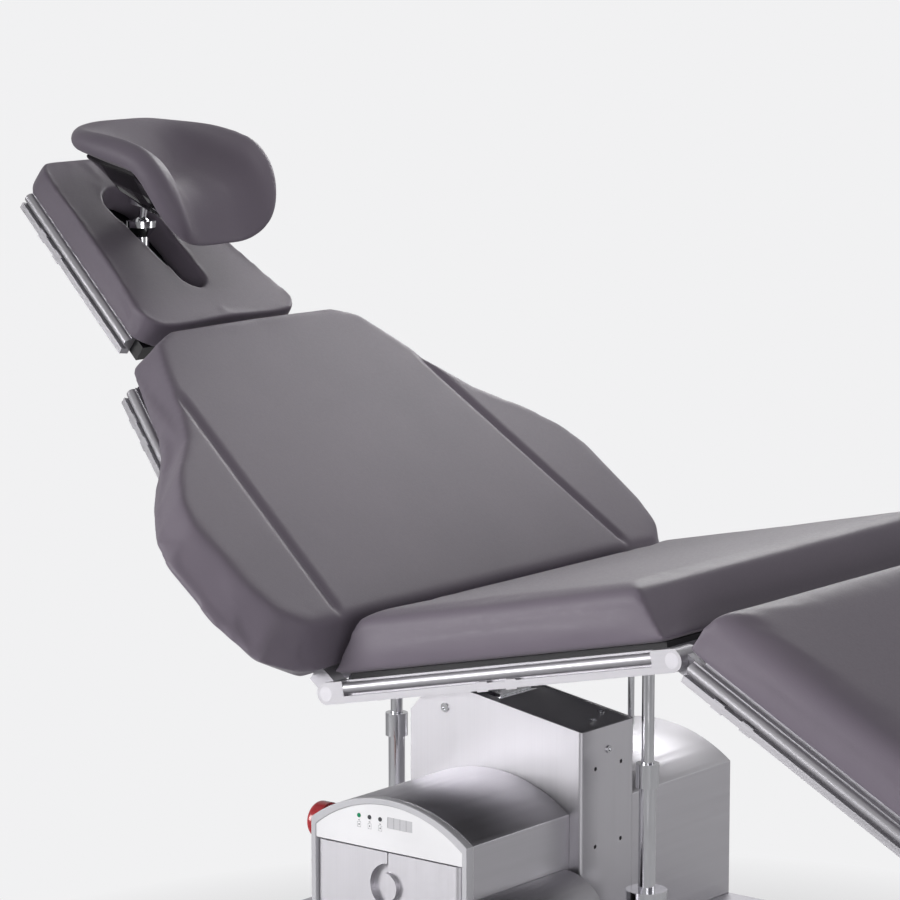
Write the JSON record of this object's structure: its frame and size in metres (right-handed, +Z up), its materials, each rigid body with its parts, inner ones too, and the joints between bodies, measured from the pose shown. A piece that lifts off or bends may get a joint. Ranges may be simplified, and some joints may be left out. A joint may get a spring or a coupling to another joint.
{
  "type": "operating table",
  "caption": "Sectioned operating table in chair position: hinged back, head, seat and leg pads on a lifting column with a castored base.",
  "frame": {"origin": "on the floor under the centre of the whole object's box", "axes": "+X along the table towards the leg end, +Y away from the side with the control panel, +Z up"},
  "size_m": [1.6154, 0.806, 1.0937],
  "materials": {
    "cushion": "matt purple-grey leatherette with a very fine grain",
    "steel": "fine vertical brushing, satin",
    "rail": "bright satin anodised",
    "chrome": "polished",
    "frame_paint": "satin black",
    "top_plate": "dark anthracite, satin",
    "black_shell": "glossy black",
    "panel": "light grey, satin",
    "bezel": "mid grey",
    "door": "light grey, fine texture",
    "stop_red": "signal red",
    "collar": "muted yellow",
    "lamp": "translucent indicator caps",
    "display": "dark display window",
    "board": "dark laminated board",
    "tyre": "black, smooth",
    "castor": "grey",
    "motor": "dark grey",
    "battery": "black",
    "mast": "light grey"
  },
  "bodies": {
    "base": {"chassis_frame": "frame_paint", "base_cover": "steel", "column_housing": "steel", "housing_top_plate": "top_plate", "housing_screws": "chrome", "near_box_shell": "steel", "far_box_shell": "steel", "panel_bezel": "bezel", "control_panel": "panel", "display_window": "display", "indicator_lamps": "lamp", "stop_collar": "collar", "battery_pack": "battery", "control_unit": "battery", "mast_outer": "mast", "strut_tubes": "chrome", "strut_fittings": "chrome", "door_pins": "steel"},
    "lift": {"mast_inner": "mast", "tilt_yoke": "frame_paint"},
    "seat": {"seat_frame": "frame_paint", "strut_carrier": "frame_paint", "seat_board": "board", "seat_rails": "rail", "seat_cushion": "cushion", "tilt_pin": "steel", "hinge_pins": "steel", "hinge_drives": "motor", "cable_rods": "chrome"},
    "front_rod": {"front_strut_rod": "chrome"},
    "rear_rod": {"rear_strut_rod": "chrome"},
    "back": {"back_frame": "frame_paint", "back_rails": "rail", "back_cushion": "cushion", "head_hinge_pin": "steel"},
    "head_plate": {"head_frame": "frame_paint", "head_rails": "rail", "head_pad": "cushion"},
    "clamp": {"clamp_block": "frame_paint", "clamp_post": "chrome"},
    "cup_ball": {"cup_ball": "chrome"},
    "head_cup": {"cup_stem": "chrome", "cup_shell": "black_shell", "cup_cushion": "cushion"},
    "leg": {"leg_frame": "frame_paint", "leg_rails": "rail", "leg_cushion": "cushion"},
    "left_door": {"left_door": "door"},
    "right_door": {"right_door": "door"},
    "stop_button": {"stop_button": "stop_red"},
    "brake_pedal": {"brake_pedal": "castor"},
    "castor_1": {"castor_fork_1": "castor"},
    "wheel_1": {"castor_wheel_1": "tyre"},
    "castor_2": {"castor_fork_2": "castor"},
    "wheel_2": {"castor_wheel_2": "tyre"},
    "castor_3": {"castor_fork_3": "castor"},
    "wheel_3": {"castor_wheel_3": "tyre"},
    "castor_4": {"castor_fork_4": "castor"},
    "wheel_4": {"castor_wheel_4": "tyre"}
  },
  "joints": [
    {"name": "lift", "type": "slide", "parent": "base", "child": "lift", "axis": [0, 0, 1], "range_m": [0, 0.18]},
    {"name": "seat_tilt", "type": "hinge", "parent": "lift", "child": "seat", "pos_m": [-0.1285, 0, 0.484], "axis": [0, -1, 0], "range_deg": [-15, 6]},
    {"name": "front_rod_slide", "type": "slide", "parent": "lift", "child": "front_rod", "axis": [0, 0, 1], "range_m": [-0.07, 0.07]},
    {"name": "rear_rod_slide", "type": "slide", "parent": "lift", "child": "rear_rod", "axis": [0, 0, 1], "range_m": [-0.05, 0.05]},
    {"name": "back_hinge", "type": "hinge", "parent": "seat", "child": "back", "pos_m": [-0.1365, 0, 0.49], "axis": [0, 1, 0], "range_deg": [-49, 15]},
    {"name": "head_plate_hinge", "type": "hinge", "parent": "back", "child": "head_plate", "pos_m": [-0.56009, 0, 0.80688], "axis": [0, 1, 0], "range_deg": [-35, 20]},
    {"name": "clamp_slide", "type": "slide", "parent": "head_plate", "child": "clamp", "axis": [-0.8007, 0, 0.599], "range_m": [-0.055, 0.045]},
    {"name": "cup_swivel", "type": "hinge", "parent": "clamp", "child": "cup_ball", "pos_m": [-0.68993, 0, 0.95853], "axis": [0, 0, 1], "range_deg": [-25, 25]},
    {"name": "cup_nod", "type": "hinge", "parent": "cup_ball", "child": "head_cup", "pos_m": [-0.68993, 0, 0.95853], "axis": [0, 1, 0], "range_deg": [-10, 6]},
    {"name": "leg_hinge", "type": "hinge", "parent": "seat", "child": "leg", "pos_m": [0.33266, 0, 0.59144], "axis": [0, -1, 0], "range_deg": [-45, 40]},
    {"name": "left_door_hinge", "type": "hinge", "parent": "base", "child": "left_door", "pos_m": [-0.1925, -0.2352, 0.237], "axis": [0, 0, -1], "range_deg": [0, 100]},
    {"name": "right_door_hinge", "type": "hinge", "parent": "base", "child": "right_door", "pos_m": [0.0025, -0.2352, 0.237], "axis": [0, 0, 1], "range_deg": [0, 100]},
    {"name": "stop_press", "type": "slide", "parent": "base", "child": "stop_button", "axis": [1, 0, 0], "range_m": [0, 0.004], "stiffness_N_per_m": 900},
    {"name": "pedal_hinge", "type": "hinge", "parent": "base", "child": "brake_pedal", "pos_m": [-0.095, -0.22, 0.1], "axis": [1, 0, 0], "range_deg": [-12, 12]},
    {"name": "castor_swivel_1", "type": "hinge", "parent": "base", "child": "castor_1", "pos_m": [-0.338, -0.214, 0.112], "axis": [0, 0, 1], "continuous": true},
    {"name": "wheel_spin_1", "type": "hinge", "parent": "castor_1", "child": "wheel_1", "pos_m": [-0.31, -0.214, 0.05], "axis": [0, 1, 0], "continuous": true},
    {"name": "castor_swivel_2", "type": "hinge", "parent": "base", "child": "castor_2", "pos_m": [-0.338, 0.214, 0.112], "axis": [0, 0, 1], "continuous": true},
    {"name": "wheel_spin_2", "type": "hinge", "parent": "castor_2", "child": "wheel_2", "pos_m": [-0.31, 0.214, 0.05], "axis": [0, 1, 0], "continuous": true},
    {"name": "castor_swivel_3", "type": "hinge", "parent": "base", "child": "castor_3", "pos_m": [0.158, -0.214, 0.112], "axis": [0, 0, 1], "continuous": true},
    {"name": "wheel_spin_3", "type": "hinge", "parent": "castor_3", "child": "wheel_3", "pos_m": [0.186, -0.214, 0.05], "axis": [0, 1, 0], "continuous": true},
    {"name": "castor_swivel_4", "type": "hinge", "parent": "base", "child": "castor_4", "pos_m": [0.158, 0.214, 0.112], "axis": [0, 0, 1], "continuous": true},
    {"name": "wheel_spin_4", "type": "hinge", "parent": "castor_4", "child": "wheel_4", "pos_m": [0.186, 0.214, 0.05], "axis": [0, 1, 0], "continuous": true}
  ],
  "couplings": [
    {"joint": "front_rod_slide", "follows": "seat_tilt", "m_per_rad": 0.22},
    {"joint": "rear_rod_slide", "follows": "seat_tilt", "m_per_rad": -0.151}
  ]
}
